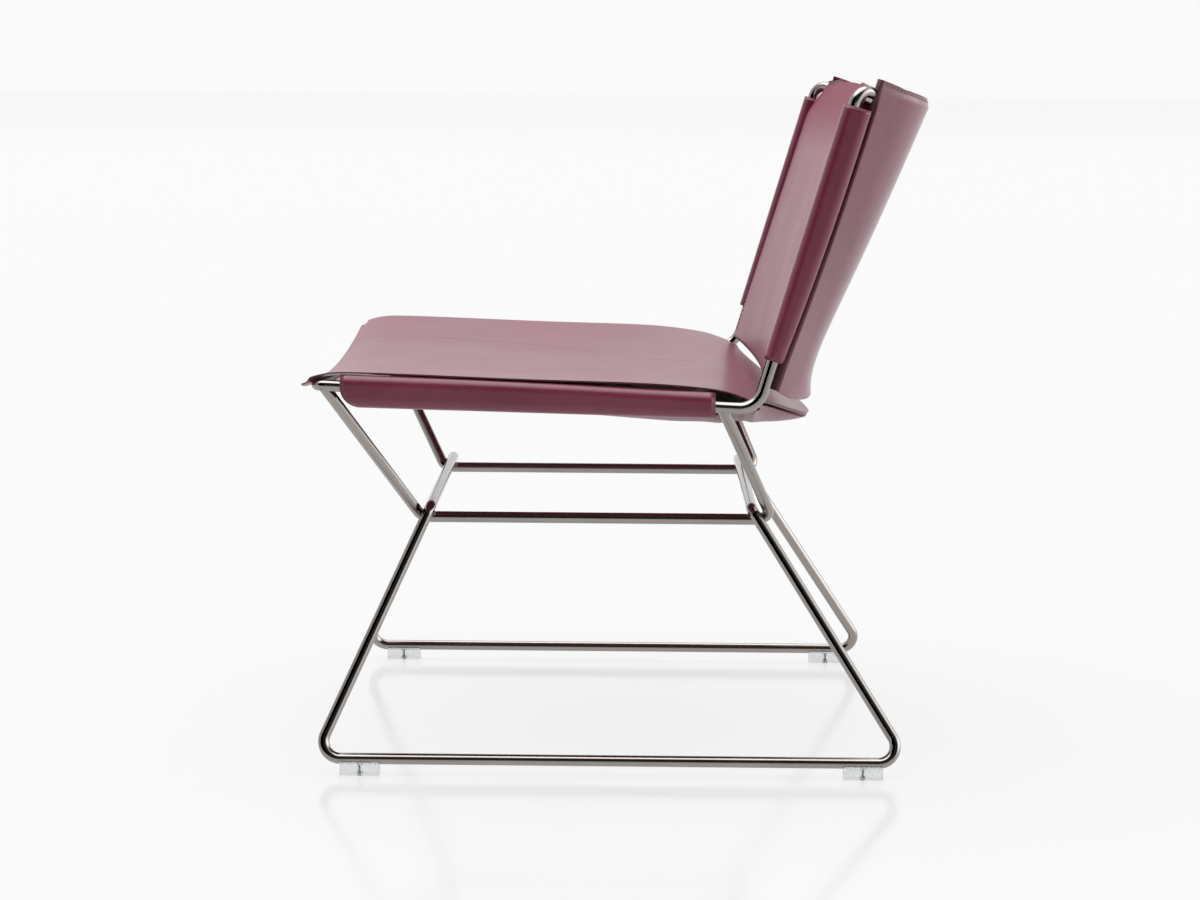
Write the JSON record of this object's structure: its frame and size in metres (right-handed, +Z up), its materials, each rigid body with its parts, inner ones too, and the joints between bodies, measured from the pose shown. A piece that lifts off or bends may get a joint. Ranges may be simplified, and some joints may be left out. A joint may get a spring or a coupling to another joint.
{
  "type": "sling lounge chair",
  "caption": "Armless low lounge chair with a bent steel rod sled base, a saddle leather sling seat and a raked leather back with a rear tray panel.",
  "frame": {"origin": "on the floor, below the middle of the chair's overall box", "axes": "+Z up, -Y the way a sitter faces, +X the sitter's left"},
  "size_m": [0.628, 0.6422, 0.7316],
  "materials": {
    "rod_steel": "polished dark nickel plate",
    "hide": "burgundy saddle leather, smooth semi-gloss",
    "clear_plastic": "clear, smooth",
    "screw_steel": "plain zinc"
  },
  "bodies": {
    "root": {"left_sled_rod": "rod_steel", "right_sled_rod": "rod_steel", "front_waist_bar": "rod_steel", "rear_waist_bar": "rod_steel", "left_strut_rod": "rod_steel", "right_strut_rod": "rod_steel", "left_side_rod": "rod_steel", "right_side_rod": "rod_steel", "seat_front_bar": "rod_steel", "back_top_bow": "rod_steel", "seat_top_panel": "hide", "seat_under_panel": "hide", "left_seat_sleeve": "hide", "right_seat_sleeve": "hide", "back_front_panel": "hide", "left_back_sleeve": "hide", "right_back_sleeve": "hide", "back_rear_panel": "hide", "front_left_glide": "clear_plastic", "front_right_glide": "clear_plastic", "rear_left_glide": "clear_plastic", "rear_right_glide": "clear_plastic", "front_left_glide_screw": "screw_steel", "front_right_glide_screw": "screw_steel", "rear_left_glide_screw": "screw_steel", "rear_right_glide_screw": "screw_steel"}
  },
  "joints": []
}
